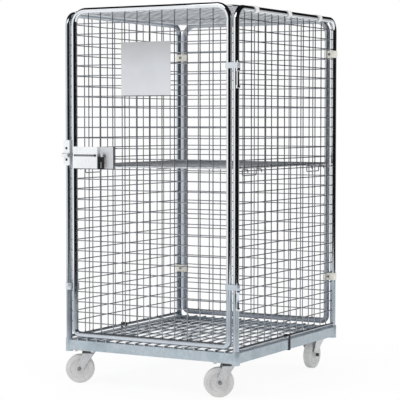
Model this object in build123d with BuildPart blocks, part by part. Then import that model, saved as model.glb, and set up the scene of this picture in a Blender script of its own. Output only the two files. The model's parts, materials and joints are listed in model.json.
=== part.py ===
from build123d import *
from math import cos, pi, radians, sin, sqrt
import os

os.makedirs("parts", exist_ok=True)

# All sizes are in millimetres. X runs across the front, the door faces -Y, Z is up.
# The origin is on the floor under the middle of the base.

# Overall sizes
WIDTH = 735.0  # over the side wall tubes
DEPTH = 835.0  # over the front and rear tubes
WALL_TOP = 1395.5  # top of the side and back walls above the floor
DOOR_RISE = 10.0  # how much higher the door stands than the walls

# Tube frames
TUBE_R = 11.0
SIDE_BEND_R = 45.0  # centre line of the bends of the side walls
LOOP_BEND_R = 50.0  # centre line of the upper bends of the door and the back wall
LOOP_FOOT_R = 20.0  # centre line of their lower bends
TUBE_GAP = 6.0  # between the two tubes at a corner
RAIL_R = 5.0  # bottom rail of a side wall

# Base
BEAM_H = 36.0
BEAM_W = 30.0
BEAM_SHEET = 3.0
SOCKET_WALL = 2.7
SOCKET_FIT = 0.3  # round a wall leg in its socket
SOCKET_DROP = 7.0  # socket below the beams
SOCKET_RISE = 5.0  # socket above the beams
SOCKET_FLOOR = 3.0
PAD_LONG = 115.0  # pads that carry the castors
PAD_DEEP = 90.0
DECK_ROD_R = 3.0
DECK_CROSS_R = 4.0
DECK_PITCH = 42.0
DECK_CROSS_PITCH = 105.0
DECK_EDGE = 10.0  # least space beside the outer rods
DECK_CROSS_EDGE = 50.0  # least space beyond the outer cross rods
DECK_INSET = 3.5  # deck rods short of the outer faces of the beams
DOOR_CLEAR = 5.0  # door and back wall above the deck rods
RAIL_CLEAR = 2.0  # bottom rail above the sockets

# Welded mesh
WIRE_R = 2.0
WIRE_SIDES = 6  # wires are drawn as prisms
PITCH_WIDE = 52.8  # between upright wires
PITCH_HIGH = 38.4  # between rows
ROW_RISE = 45.35  # lowest row above the centre of the bottom tube
EDGE_MIN = 40.0  # least space from a tube's centre to the first upright
SIDE_SHIFT = 6.5  # uprights of the side walls towards the front
TOP_MIN = 27.0  # least space from the top tube's centre to the top row
LAYER_GAP = 0.05  # between uprights and rows
WELD_GAP = 0.2  # at the end of each wire

# Roof lid
ROOF_ROD_R = 5.0
ROOF_BEND_R = 12.0
ROOF_GAP = 2.5  # between the roof rod and the wall tubes, seen from above
ROOF_RISE = 6.5  # roof rod above the centre of the wall tubes
ROOF_EDGE_MIN = 25.0
TAB_W = 30.0
TAB_T = 3.0
TAB_LONG = 28.0
REST_GAP = 0.3  # between a resting piece and what it rests on

# Clips
CLIP_WALL = 3.2
CLIP_H = 28.0
CLIP_ROW_LOW = 3  # the lower corner clips sit in the gap above this row
CLIP_ROW_HIGH = 3  # the upper ones sit in the gap above this row, counted from the top
ROOF_CLIP_L = 24.0
ROOF_CLIP_INDEX = 1  # wire gap of the outer roof clips, counted from the end
FIT = 0.05  # running and seating fits
SCREW_R = 2.5
SCREW_HEAD_R = 5.0
SCREW_HEAD_H = 3.0
BEAM_CLIP_W = 12.0
BEAM_CLIP_Y = (-21.0, -6.5)  # left and right clip
BEAM_CLIP_T = 3.0
BEAM_CLIP_GAP = 0.3
BEAM_CLIP_LIP = 10.0

# Door hinges
HINGE_OUT = 3.5  # hinge axis outside the wall tube
HINGE_FRONT = 3.0  # hinge axis in front of the wall tube
PIN_R = 5.0
EYE_R = 8.0
STRAP_T = 3.0
STRAP_H = 20.0
STRAP_GAP = 1.0  # strap in front of the wall tube
STRAP_LOW_Z = 391.0  # underside of the lower strap
STRAP_TOP_DROP = 222.5  # underside of the upper strap below the door's top tube
SADDLE_WALL = 3.0
ARM_T = 10.0
ARM_W = 10.0
ARM_STEP = 60.0  # from the lower arm of a pintle to the upper one
PIN_RISE = 26.0  # pin above the underside of the strap

# Lock on the door
LOCK_OVER = 2.5  # lock plate past the centre of the door's left tube
LOCK_DROP = 48.0  # bottom of the lock below the bolt
LOCK_H = 80.0
LOCK_PLATE_W = 181.5
LOCK_COVER_W = 108.0
COVER_IN = 11.0  # cover in from the left edge of the plate
LOCK_SHEET = 2.0
COVER_SHEET = 1.5
SEAT_GAP = 0.1  # between pieces that are fixed face to face
BOLT_R = 5.0
BOLT_Z = 860.0
BOLT_GAP = 0.4  # bolt to the plate behind it and the cover in front
BOLT_LONG = 160.5
BOLT_OUT = 10.5  # bolt past the left edge of the plate when drawn back
SLOT_W = 94.0
SLOT_H = 7.0
SLOT_IN = 4.0
GRIP_W = 28.0
GRIP_H = 45.0
GRIP_T = 4.3
GRIP_DROP = 50.0  # bottom of the grip below the bolt
GRIP_GAP = 0.3  # grip in front of the cover
GRIP_PAST = 4.0  # grip beyond the right end of the cover
GRIP_RIB = 10.0  # bars on both sides of the window in the grip
GRIP_WINDOW_H = 22.0
STEM_W = 8.0
STEM_RISE = 10.0  # stem above the bolt
STEM_DROP = 20.0  # stem below the bolt

# Keepers on the left wall
KEEPER_H = 94.0
KEEPER_DROP = 38.0  # bottom of the keeper below the bolt
KEEPER_T = 3.0
KEEPER_DEEP = 21.5
KEEPER_BORE_R = 5.8
STAPLE_R = 8.0
STAPLE_OVER = 15.0  # staple past the centre of the wall's front leg
STAPLE_LONG = 27.0
PLUG_R = 3.5  # plug weld holes
PLUG_RISE = (21.0, 64.0)  # plug welds above the bottom of the keeper
STOP_ROW = 3  # the lower keeper sits in the gap above this row
STOP_H = 26.0
STOP_T = 3.0
STOP_REACH = 36.0

# Sign plate
SIGN_X0 = -119.0
SIGN_DROP = 314.5  # bottom of the sign below the door's top tube
SIGN_W = 210.0
SIGN_H = 194.0
SIGN_T = 1.5
SIGN_R = 4.0

# Shelf
SHELF_ROD_R = 4.0
SHELF_GAP = 2.5  # shelf rods inside the rows of the side walls
SHELF_IN = 22.5  # shelf rods in from the centres of the front and rear tubes
SHELF_BEND_R = 12.0
HOOK_R = 2.0
HOOK_BEND_R = 4.5
HOOK_INDEXES = (2, 0)  # wire gaps of the two prongs, counted from the end
HOOK_ROW = 15  # row that carries the shelf
HOOK_CLEAR = 0.4
HOOK_DROP = 28.0  # hanging loop below the shelf
PRONG_DROP = 12.0

# Castors
WHEEL_R = 54.0
WHEEL_W = 28.0
WHEEL_DISH_R = 50.0
TREAD_W = 22.0
HUB_R = 17.0
HUB_W = 34.0
AXLE_R = 5.0
AXLE_END = 9.0
AXLE_HEX_R = 6.2
FORK_T = 3.0
FORK_SIDE = 0.5  # wheel hub to fork
FORK_BOSS_R = 12.0
CROWN_LONG = 44.0
CROWN_T = 5.0
RACE_R = 26.0
RACE_H = 7.7
RACE_GAP = 0.3
PLATE_LONG = 94.0
PLATE_DEEP = 84.0
PLATE_CORNER_R = 16.0
PLATE_T = 4.0
KINGPIN_R = 8.0
KINGPIN_HEAD_R = 13.0
KINGPIN_HEAD_H = 4.0
TRAIL = 33.0
SWIVEL = (25.0, 40.0)  # degrees that the left and right front castors are turned to the front
WHEEL_CLEAR = 5.0  # wheel below the fork crown
FRONT_IN = 68.0  # front pivots in from the sides of the base
REAR_IN = 84.5  # rear castors in from the sides of the base
FRONT_SET = 56.0  # front pivots in from the front of the base
REAR_SET = 47.5  # rear castors in from the rear of the base
BRACKET_LONG = 72.0
KNEE_RISE = 16.0  # knee of the fixed bracket's legs above the axle

# Positions that follow from the sizes
SIDE_X = WIDTH / 2 - TUBE_R
LEG_Y = DEPTH / 2 - TUBE_R
LOOP_X = SIDE_X - 2 * TUBE_R - TUBE_GAP
WALL_Z = WALL_TOP - TUBE_R
DOOR_Z = WALL_Z + DOOR_RISE
CASTOR_H = 2 * WHEEL_R + WHEEL_CLEAR + CROWN_T + RACE_GAP + RACE_H + PLATE_T
BASE_TOP = CASTOR_H + BEAM_H
DECK_Z = BASE_TOP + DECK_ROD_R + LAYER_GAP
LOOP_LOW = DECK_Z + DECK_ROD_R + DOOR_CLEAR + TUBE_R
FIRST_ROW = LOOP_LOW + ROW_RISE
SOCKET_R = TUBE_R + SOCKET_FIT + SOCKET_WALL
SOCKET_LOW = CASTOR_H - SOCKET_DROP
SOCKET_TOP = BASE_TOP + SOCKET_RISE
LEG_LOW = SOCKET_LOW + SOCKET_FLOOR
RAIL_Z = SOCKET_TOP + RAIL_CLEAR + RAIL_R
WIRE_TIP = WIRE_R / cos(pi / WIRE_SIDES)  # corner of a wire from its centre
LAYER_SHIFT = WIRE_R + LAYER_GAP / 2
FRONT_Y = LEG_Y + TUBE_R  # front of the tubes, measured towards the viewer
ROOF_X = SIDE_X - TUBE_R - ROOF_ROD_R - ROOF_GAP
ROOF_Y = LEG_Y - TUBE_R - ROOF_ROD_R - ROOF_GAP
ROOF_Z = WALL_Z + ROOF_RISE
SADDLE_R = TUBE_R + SADDLE_WALL
STRAP_Z = (STRAP_LOW_Z, DOOR_Z - STRAP_TOP_DROP)
HINGE_X = SIDE_X + TUBE_R + HINGE_OUT
HINGE_Y = -FRONT_Y - HINGE_FRONT
LOCK_X0 = -LOOP_X - LOCK_OVER
COVER_X0 = LOCK_X0 + COVER_IN
LOCK_Z0 = BOLT_Z - LOCK_DROP
LOCK_FRONT = FRONT_Y + SEAT_GAP + LOCK_SHEET
BOLT_Y = -(LOCK_FRONT + BOLT_GAP + BOLT_R)
COVER_FRONT = -BOLT_Y + BOLT_R + BOLT_GAP + COVER_SHEET
GRIP_Z0 = BOLT_Z - GRIP_DROP
KEEPER_Z0 = BOLT_Z - KEEPER_DROP
STAPLE_X0 = -SIDE_X - STAPLE_OVER
SIGN_Z0 = DOOR_Z - SIGN_DROP
SHELF_Y = LEG_Y - SHELF_IN
SHELF_X = SIDE_X - LAYER_SHIFT - WIRE_TIP - SHELF_GAP - SHELF_ROD_R
HOOK_X = SHELF_X - 2 * HOOK_BEND_R
FRONT_X = WIDTH / 2 - FRONT_IN
REAR_X = WIDTH / 2 - REAR_IN
FRONT_CASTOR_Y = FRONT_Y - FRONT_SET
REAR_CASTOR_Y = FRONT_Y - REAR_SET
PLATE_LOW = CASTOR_H - PLATE_T
CROWN_TOP = PLATE_LOW - RACE_H - RACE_GAP
CROWN_LOW = CROWN_TOP - CROWN_T
FORK_IN = HUB_W / 2 + FORK_SIDE
FORK_OUT = FORK_IN + FORK_T

# One plane per wall, facing outwards, with its second axis up
DOOR_FACE = Plane((0, -LEG_Y, 0), x_dir=(1, 0, 0), z_dir=(0, -1, 0))
BACK_FACE = Plane((0, LEG_Y, 0), x_dir=(-1, 0, 0), z_dir=(0, 1, 0))
RIGHT_FACE = Plane((SIDE_X, 0, 0), x_dir=(0, 1, 0), z_dir=(1, 0, 0))
LEFT_FACE = Plane((-SIDE_X, 0, 0), x_dir=(0, -1, 0), z_dir=(-1, 0, 0))


def spread(span, pitch, edge):
    """Centred positions at a fixed pitch that keep an edge space at both ends."""
    gaps = int((span - 2 * edge) / pitch)
    return [(i - gaps / 2) * pitch for i in range(gaps + 1)]


def row_z(row):
    """Height of one row of mesh wire."""
    return FIRST_ROW + row * PITCH_HIGH


def row_count(head):
    """Number of rows in a wall whose top tube has its underside at this height."""
    return int((head + TUBE_R - TOP_MIN - FIRST_ROW) / PITCH_HIGH) + 1


def gap_y(gap, end):
    """Middle of one gap between a side wall's uprights, counted from the front (-1) or rear (1)."""
    return end * (SIDE_UPRIGHTS[-1 - gap] - PITCH_WIDE / 2) - SIDE_SHIFT


SIDE_UPRIGHTS = spread(2 * LEG_Y, PITCH_WIDE, EDGE_MIN)
SIDE_ROWS = row_count(WALL_Z - TUBE_R)
ROOF_CLIP_Y = [gap_y(ROOF_CLIP_INDEX, end) for end in (-1, 1)]
ROOF_CLIP_MID_Y = gap_y(len(SIDE_UPRIGHTS) // 2 - 1, 1)


def bend_inset(past, bend_r):
    """How far a bent tube stands in from its straight line, past the start of the bend."""
    inner_r = max(bend_r - TUBE_R, 0.0)
    past = min(max(past, 0.0), inner_r)
    return inner_r - sqrt(inner_r**2 - past**2)


def side_frame(face):
    """Side wall tube bent over the top, with the bottom rail between its legs."""
    with BuildPart() as frame:
        with BuildLine(face) as path:
            FilletPolyline(
                (-LEG_Y, LEG_LOW),
                (-LEG_Y, WALL_Z),
                (LEG_Y, WALL_Z),
                (LEG_Y, LEG_LOW),
                radius=SIDE_BEND_R,
            )
        with BuildSketch(Plane(path.line @ 0, z_dir=path.line % 0)):
            Circle(TUBE_R)
        sweep(path=path.line)
        with BuildSketch(Plane(face.origin, x_dir=-face.z_dir, z_dir=face.x_dir)):
            with Locations((0, RAIL_Z)):
                Circle(RAIL_R)
        extrude(amount=LEG_Y - TUBE_R - WELD_GAP, both=True)
    return frame


def loop_frame(face, half, low, high):
    """Closed loop of tube with wide bends at the top and tight ones at the bottom."""
    with BuildPart() as frame:
        with BuildLine(face) as path:
            FilletPolyline(
                (-half, low),
                (half, low),
                (half, high),
                (-half, high),
                radius=[LOOP_FOOT_R, LOOP_FOOT_R, LOOP_BEND_R, LOOP_BEND_R],
                close=True,
            )
        with BuildSketch(Plane(path.line @ 0, z_dir=path.line % 0)):
            Circle(TUBE_R)
        sweep(path=path.line)
    return frame


def wall_mesh(face, half, foot, head, head_r, foot_r, shift):
    """Welded mesh of one wall, uprights outside and rows inside, ending at the tube frame."""
    flat = Plane(face.origin, x_dir=face.x_dir, z_dir=(0, 0, 1))
    across = Plane(face.origin, x_dir=-face.z_dir, z_dir=face.x_dir)
    uprights = {}
    for place in spread(2 * half, PITCH_WIDE, EDGE_MIN):
        u = place + shift
        past = abs(u) + WIRE_TIP - half
        ends = (bend_inset(past + foot_r, foot_r), bend_inset(past + head_r, head_r))
        uprights.setdefault(ends, []).append((u, -LAYER_SHIFT))
    rows = {}
    for row in range(row_count(head)):
        above = row_z(row) + WIRE_TIP - (head + TUBE_R)
        below = foot - TUBE_R - row_z(row) + WIRE_TIP
        inset = max(bend_inset(above + head_r, head_r), bend_inset(below + foot_r, foot_r))
        rows.setdefault(inset, []).append((LAYER_SHIFT, row_z(row)))
    with BuildPart() as mesh:
        for (low_inset, high_inset), spots in uprights.items():
            start = foot + WELD_GAP + low_inset
            with BuildSketch(flat.offset(start)):
                with Locations(*spots):
                    RegularPolygon(WIRE_R, WIRE_SIDES, major_radius=False)
            extrude(amount=head - WELD_GAP - high_inset - start)
        for inset, spots in rows.items():
            with BuildSketch(across):
                with Locations(*spots):
                    RegularPolygon(WIRE_R, WIRE_SIDES, major_radius=False, rotation=30)
            extrude(amount=half - TUBE_R - WELD_GAP - inset, both=True)
    return mesh


def flat_mesh(height, half_x, half_y, rod_r, edge):
    """Level mesh inside a rod border, long wires under the cross wires."""
    with BuildPart() as mesh:
        with BuildSketch(Plane.XZ):
            with Locations(*[(x, height - LAYER_SHIFT) for x in spread(2 * half_x, PITCH_HIGH, edge)]):
                RegularPolygon(WIRE_R, WIRE_SIDES, major_radius=False)
        extrude(amount=half_y - rod_r - WELD_GAP, both=True)
        with BuildSketch(Plane.YZ):
            with Locations(*[(y, height + LAYER_SHIFT) for y in SIDE_UPRIGHTS]):
                RegularPolygon(WIRE_R, WIRE_SIDES, major_radius=False)
        extrude(amount=half_x - rod_r - WELD_GAP, both=True)
    return mesh


def castor_planes(x, y, roll):
    """Level plane and upright rolling plane of a castor, both through the floor under its pivot."""
    flat = Plane((x, y, 0), x_dir=roll, z_dir=(0, 0, 1))
    upright = Plane((x, y, 0), x_dir=roll, z_dir=-flat.y_dir)
    return flat, upright


def castor_plate(x, y, roll):
    """Top plate of a swivel castor with the hole for its kingpin."""
    flat, upright = castor_planes(x, y, roll)
    with BuildPart() as plate:
        with BuildSketch(flat.offset(PLATE_LOW)):
            RectangleRounded(PLATE_LONG, PLATE_DEEP, PLATE_CORNER_R)
            Circle(KINGPIN_R + FIT, mode=Mode.SUBTRACT)
        extrude(amount=PLATE_T)
    return plate


def castor_race(x, y, roll):
    """Swivel race between the top plate and the fork."""
    flat, upright = castor_planes(x, y, roll)
    with BuildPart() as race:
        with BuildSketch(flat.offset(PLATE_LOW - RACE_H)):
            Circle(RACE_R)
            Circle(KINGPIN_R + FIT, mode=Mode.SUBTRACT)
        extrude(amount=RACE_H)
    return race


def castor_kingpin(x, y, roll):
    """Kingpin with its head under the fork."""
    flat, upright = castor_planes(x, y, roll)
    head_low = CROWN_LOW - RACE_GAP - KINGPIN_HEAD_H
    with BuildPart() as pin:
        with BuildSketch(flat.offset(head_low)):
            Circle(KINGPIN_R)
        extrude(amount=CASTOR_H - SEAT_GAP - head_low)
        with BuildSketch(flat.offset(head_low)):
            Circle(KINGPIN_HEAD_R)
        extrude(amount=KINGPIN_HEAD_H)
    return pin


def castor_fork(x, y, roll):
    """Swivel fork: a crown on the kingpin and two legs that trail to the axle."""
    flat, upright = castor_planes(x, y, roll)
    with BuildPart() as fork:
        with BuildSketch(flat.offset(CROWN_LOW)):
            Rectangle(CROWN_LONG, 2 * FORK_OUT)
        extrude(amount=CROWN_T)
        for side in (-1, 1):
            with BuildSketch(upright.offset(side * (FORK_IN + FORK_T / 2))):
                with Locations((0, CROWN_TOP - CROWN_T / 2)):
                    Rectangle(CROWN_LONG, CROWN_T)
                with Locations((TRAIL, WHEEL_R)):
                    Circle(FORK_BOSS_R)
                make_hull()
            extrude(amount=FORK_T / 2, both=True)
        with BuildSketch(flat.offset(CROWN_LOW)):
            Circle(KINGPIN_R + FIT)
        extrude(amount=CROWN_T, mode=Mode.SUBTRACT)
        with BuildSketch(upright):
            with Locations((TRAIL, WHEEL_R)):
                Circle(AXLE_R + FIT)
        extrude(amount=FORK_OUT, both=True, mode=Mode.SUBTRACT)
    return fork


def castor_bracket(x, y, roll):
    """Fixed bracket: a top plate whose two legs slope in to a knee and drop to the axle."""
    flat, upright = castor_planes(x, y, roll)
    edge = PLATE_DEEP / 2
    knee_z = WHEEL_R + KNEE_RISE
    leg_low = WHEEL_R - FORK_BOSS_R
    with BuildPart() as bracket:
        with BuildSketch(Plane(flat.origin, x_dir=flat.y_dir, z_dir=flat.x_dir)):
            for side in (-1, 1):
                with BuildLine():
                    Polyline(
                        (side * edge, PLATE_LOW),
                        (side * (edge - FORK_T), PLATE_LOW),
                        (side * FORK_IN, knee_z),
                        (side * FORK_IN, leg_low),
                        (side * FORK_OUT, leg_low),
                        (side * FORK_OUT, knee_z),
                        close=True,
                    )
                make_face()
        extrude(amount=BRACKET_LONG / 2, both=True)
        with BuildSketch(upright):
            with Locations((0, PLATE_LOW)):
                Rectangle(BRACKET_LONG, PLATE_T)
            with Locations((0, WHEEL_R)):
                Circle(FORK_BOSS_R)
            make_hull()
        extrude(amount=edge, both=True, mode=Mode.INTERSECT)
        with BuildSketch(flat.offset(PLATE_LOW)):
            RectangleRounded(PLATE_LONG, PLATE_DEEP, PLATE_CORNER_R)
        extrude(amount=PLATE_T)
        with BuildSketch(upright):
            with Locations((0, WHEEL_R)):
                Circle(AXLE_R + FIT)
        extrude(amount=FORK_OUT, both=True, mode=Mode.SUBTRACT)
    return bracket


def castor_axle(x, y, roll, trail):
    """Axle bolt with a hexagon at each end, outside the legs."""
    flat, upright = castor_planes(x, y, roll)
    with BuildPart() as axle:
        with BuildSketch(upright):
            with Locations((trail, WHEEL_R)):
                Circle(AXLE_R)
        extrude(amount=FORK_OUT + SEAT_GAP, both=True)
        for side in (-1, 1):
            with BuildSketch(upright.offset(side * (FORK_OUT + SEAT_GAP + AXLE_END / 2))):
                with Locations((trail, WHEEL_R)):
                    RegularPolygon(AXLE_HEX_R, 6, major_radius=False)
            extrude(amount=AXLE_END / 2, both=True)
    return axle


def castor_wheel(x, y, roll, trail):
    """Wheel turned about its axle: hub, dished faces and tread."""
    flat, upright = castor_planes(x, y, roll)
    centre = flat.origin + flat.x_dir * trail + Vector(0, 0, WHEEL_R)
    with BuildPart() as wheel:
        with BuildSketch(Plane(centre, x_dir=flat.y_dir, z_dir=flat.x_dir)):
            with BuildLine():
                Polyline(
                    (-HUB_W / 2, AXLE_R + FIT),
                    (-HUB_W / 2, HUB_R),
                    (-WHEEL_W / 2, WHEEL_DISH_R),
                    (-TREAD_W / 2, WHEEL_R),
                    (TREAD_W / 2, WHEEL_R),
                    (WHEEL_W / 2, WHEEL_DISH_R),
                    (HUB_W / 2, HUB_R),
                    (HUB_W / 2, AXLE_R + FIT),
                    close=True,
                )
            make_face()
        revolve(axis=Axis(centre, flat.y_dir))
    return wheel


# Base frame: folded channels, sockets for the wall legs and pads for the castors
with BuildPart() as base_frame:
    for side in (-1, 1):
        with BuildSketch(Plane.YZ):
            with Locations((side * (FRONT_Y - BEAM_W / 2), CASTOR_H + BEAM_H / 2)):
                Rectangle(BEAM_W, BEAM_H)
            with Locations((side * (FRONT_Y - BEAM_SHEET - BEAM_W / 2), CASTOR_H + BEAM_H / 2)):
                Rectangle(BEAM_W, BEAM_H - 2 * BEAM_SHEET, mode=Mode.SUBTRACT)
        extrude(amount=SIDE_X, both=True)
        with BuildSketch(Plane.XZ):
            with Locations((side * (WIDTH / 2 - BEAM_W / 2), CASTOR_H + BEAM_H / 2)):
                Rectangle(BEAM_W, BEAM_H)
            with Locations((side * (WIDTH / 2 - BEAM_SHEET - BEAM_W / 2), CASTOR_H + BEAM_H / 2)):
                Rectangle(BEAM_W, BEAM_H - 2 * BEAM_SHEET, mode=Mode.SUBTRACT)
        extrude(amount=LEG_Y, both=True)
    with BuildSketch(Plane.XY.offset(CASTOR_H)):
        with Locations((-FRONT_X, -FRONT_CASTOR_Y), (FRONT_X, -FRONT_CASTOR_Y)):
            Rectangle(PAD_LONG, PAD_DEEP)
        with Locations((-REAR_X, REAR_CASTOR_Y), (REAR_X, REAR_CASTOR_Y)):
            Rectangle(PAD_LONG, PAD_DEEP)
    extrude(amount=BEAM_SHEET)
    with BuildSketch(Plane.XY.offset(SOCKET_LOW)):
        with GridLocations(2 * SIDE_X, 2 * LEG_Y, 2, 2):
            Circle(SOCKET_R)
    extrude(amount=SOCKET_TOP - SOCKET_LOW)
    with BuildSketch(Plane.XY.offset(LEG_LOW)):
        with GridLocations(2 * SIDE_X, 2 * LEG_Y, 2, 2):
            Circle(TUBE_R + SOCKET_FIT)
    extrude(amount=SOCKET_TOP - LEG_LOW, mode=Mode.SUBTRACT)

# Deck grid: rods from front to back on cross rods
with BuildPart() as deck_grid:
    with BuildSketch(Plane.XZ):
        with Locations(*[(x, DECK_Z) for x in spread(2 * (SIDE_X - BEAM_W), DECK_PITCH, DECK_EDGE)]):
            RegularPolygon(DECK_ROD_R, WIRE_SIDES, major_radius=False)
    extrude(amount=FRONT_Y - DECK_INSET, both=True)
    with BuildSketch(Plane.YZ):
        cross_z = DECK_Z - DECK_ROD_R - LAYER_GAP - DECK_CROSS_R
        cross_y = spread(2 * (FRONT_Y - BEAM_W), DECK_CROSS_PITCH, DECK_CROSS_EDGE)
        with Locations(*[(y, cross_z) for y in cross_y]):
            RegularPolygon(DECK_CROSS_R, WIRE_SIDES, major_radius=False)
    extrude(amount=WIDTH / 2 - BEAM_W - WELD_GAP, both=True)

# Walls and door
left_wall_frame = side_frame(LEFT_FACE)
right_wall_frame = side_frame(RIGHT_FACE)
back_wall_frame = loop_frame(BACK_FACE, LOOP_X, LOOP_LOW, WALL_Z)
door_frame = loop_frame(DOOR_FACE, LOOP_X, LOOP_LOW, DOOR_Z)
SIDE_FOOT = RAIL_Z + RAIL_R
SIDE_HEAD = WALL_Z - TUBE_R
left_wall_mesh = wall_mesh(LEFT_FACE, LEG_Y, SIDE_FOOT, SIDE_HEAD, SIDE_BEND_R, 0.0, SIDE_SHIFT)
right_wall_mesh = wall_mesh(RIGHT_FACE, LEG_Y, SIDE_FOOT, SIDE_HEAD, SIDE_BEND_R, 0.0, -SIDE_SHIFT)
LOOP_FOOT = LOOP_LOW + TUBE_R
back_wall_mesh = wall_mesh(BACK_FACE, LOOP_X, LOOP_FOOT, WALL_Z - TUBE_R, LOOP_BEND_R, LOOP_FOOT_R, 0.0)
door_mesh = wall_mesh(DOOR_FACE, LOOP_X, LOOP_FOOT, DOOR_Z - TUBE_R, LOOP_BEND_R, LOOP_FOOT_R, 0.0)

# Ivory clips that hold the back wall's tubes to the side walls' rear legs
CLIP_Z = (row_z(CLIP_ROW_LOW + 0.5), row_z(SIDE_ROWS - 1 - CLIP_ROW_HIGH + 0.5))
CLIP_R = TUBE_R + CLIP_WALL
CLIP_MID_X = (SIDE_X + LOOP_X) / 2
with BuildPart() as corner_clips:
    for height in CLIP_Z:
        for side in (-1, 1):
            with BuildSketch(Plane.XY.offset(height)):
                with Locations((side * SIDE_X, LEG_Y), (side * LOOP_X, LEG_Y)):
                    Circle(CLIP_R)
                make_hull()
                with Locations((side * SIDE_X, LEG_Y), (side * LOOP_X, LEG_Y)):
                    Circle(TUBE_R + FIT, mode=Mode.SUBTRACT)
            extrude(amount=CLIP_H / 2, both=True)
    with BuildSketch(Plane.XZ.offset(-LEG_Y)):
        with Locations(*[(side * CLIP_MID_X, height) for side in (-1, 1) for height in CLIP_Z]):
            Circle(SCREW_R + FIT)
    extrude(amount=CLIP_R, both=True, mode=Mode.SUBTRACT)

with BuildPart() as clip_screws:
    with BuildSketch(Plane.XZ.offset(-LEG_Y)):
        with Locations(*[(side * CLIP_MID_X, height) for side in (-1, 1) for height in CLIP_Z]):
            Circle(SCREW_R)
    extrude(amount=CLIP_R + SEAT_GAP, both=True)
    for end in (-1, 1):
        with BuildSketch(Plane.XZ.offset(-LEG_Y + end * (CLIP_R + SEAT_GAP + SCREW_HEAD_H / 2))):
            with Locations(*[(side * CLIP_MID_X, height) for side in (-1, 1) for height in CLIP_Z]):
                Circle(SCREW_HEAD_R)
        extrude(amount=SCREW_HEAD_H / 2, both=True)

# Black clips that hook the side walls' bottom rails to the side beams
with BuildPart() as beam_clips:
    for side, clip_y in zip((-1, 1), BEAM_CLIP_Y):
        face_x = WIDTH / 2 + BEAM_CLIP_GAP
        top_z = RAIL_Z + RAIL_R + BEAM_CLIP_GAP
        low_z = CASTOR_H - BEAM_CLIP_GAP
        lip_x = SIDE_X - RAIL_R - BEAM_CLIP_GAP
        with BuildSketch(Plane.XZ.offset(-clip_y)):
            with BuildLine():
                Polyline(
                    (side * face_x, low_z),
                    (side * (face_x - BEAM_CLIP_LIP), low_z),
                    (side * (face_x - BEAM_CLIP_LIP), low_z - BEAM_CLIP_T),
                    (side * (face_x + BEAM_CLIP_T), low_z - BEAM_CLIP_T),
                    (side * (face_x + BEAM_CLIP_T), top_z + BEAM_CLIP_T),
                    (side * (lip_x - BEAM_CLIP_T), top_z + BEAM_CLIP_T),
                    (side * (lip_x - BEAM_CLIP_T), top_z - BEAM_CLIP_LIP),
                    (side * lip_x, top_z - BEAM_CLIP_LIP),
                    (side * lip_x, top_z),
                    (side * face_x, top_z),
                    close=True,
                )
            make_face()
        extrude(amount=BEAM_CLIP_W / 2, both=True)

# White clips in which the right rod of the roof lid turns
with BuildPart() as roof_clips:
    for clip_y in (*ROOF_CLIP_Y, ROOF_CLIP_MID_Y):
        with BuildSketch(Plane.XZ.offset(-clip_y)):
            with Locations((SIDE_X, WALL_Z)):
                Circle(TUBE_R + FIT + CLIP_WALL)
            with Locations((ROOF_X, ROOF_Z)):
                Circle(ROOF_ROD_R + FIT + CLIP_WALL)
            make_hull()
            with Locations((SIDE_X, WALL_Z)):
                Circle(TUBE_R + FIT, mode=Mode.SUBTRACT)
            with Locations((ROOF_X, ROOF_Z)):
                Circle(ROOF_ROD_R + FIT, mode=Mode.SUBTRACT)
        extrude(amount=ROOF_CLIP_L / 2, both=True)

# Hinge pintles on the right wall's front leg: two arms and the pin that the strap turns on
ARM_PLANE = Plane(
    (SIDE_X, -LEG_Y, 0),
    x_dir=(HINGE_X - SIDE_X, HINGE_Y + LEG_Y, 0),
    z_dir=(0, 0, 1),
)
ARM_REACH = sqrt((HINGE_X - SIDE_X) ** 2 + (HINGE_Y + LEG_Y) ** 2)
with BuildPart() as hinge_pintles:
    for strap_low in STRAP_Z:
        arm_top = strap_low - REST_GAP
        for arm_low in (arm_top - ARM_T, arm_top - ARM_T - ARM_STEP):
            with BuildSketch(ARM_PLANE.offset(arm_low)):
                with Locations((ARM_REACH / 2, 0)):
                    Rectangle(ARM_REACH, ARM_W)
                with Locations((ARM_REACH, 0)):
                    Circle(EYE_R)
                Circle(TUBE_R + FIT, mode=Mode.SUBTRACT)
            extrude(amount=ARM_T)
        pin_low = arm_top - ARM_T - ARM_STEP
        with BuildSketch(Plane((HINGE_X, HINGE_Y, pin_low))):
            Circle(PIN_R)
        extrude(amount=strap_low + PIN_RISE - pin_low)

# Hinge straps on the door: a saddle on the tube, a plate past the wall tube and an eye
STRAP_BACK = -FRONT_Y - STRAP_GAP
with BuildPart() as hinge_straps:
    for strap_low in STRAP_Z:
        with BuildSketch(Plane.XY.offset(strap_low)):
            with Locations((LOOP_X, -LEG_Y)):
                Circle(SADDLE_R)
            with Locations((LOOP_X, -LEG_Y + SADDLE_R / 2)):
                Rectangle(2 * SADDLE_R, SADDLE_R, mode=Mode.SUBTRACT)
            with Locations(((LOOP_X + HINGE_X) / 2, STRAP_BACK - STRAP_T / 2)):
                Rectangle(HINGE_X - LOOP_X + SADDLE_R, STRAP_T)
            with Locations((HINGE_X, HINGE_Y)):
                Circle(EYE_R)
                Circle(PIN_R + FIT, mode=Mode.SUBTRACT)
            with Locations((LOOP_X, -LEG_Y)):
                Circle(TUBE_R + FIT, mode=Mode.SUBTRACT)
        extrude(amount=STRAP_H)

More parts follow.
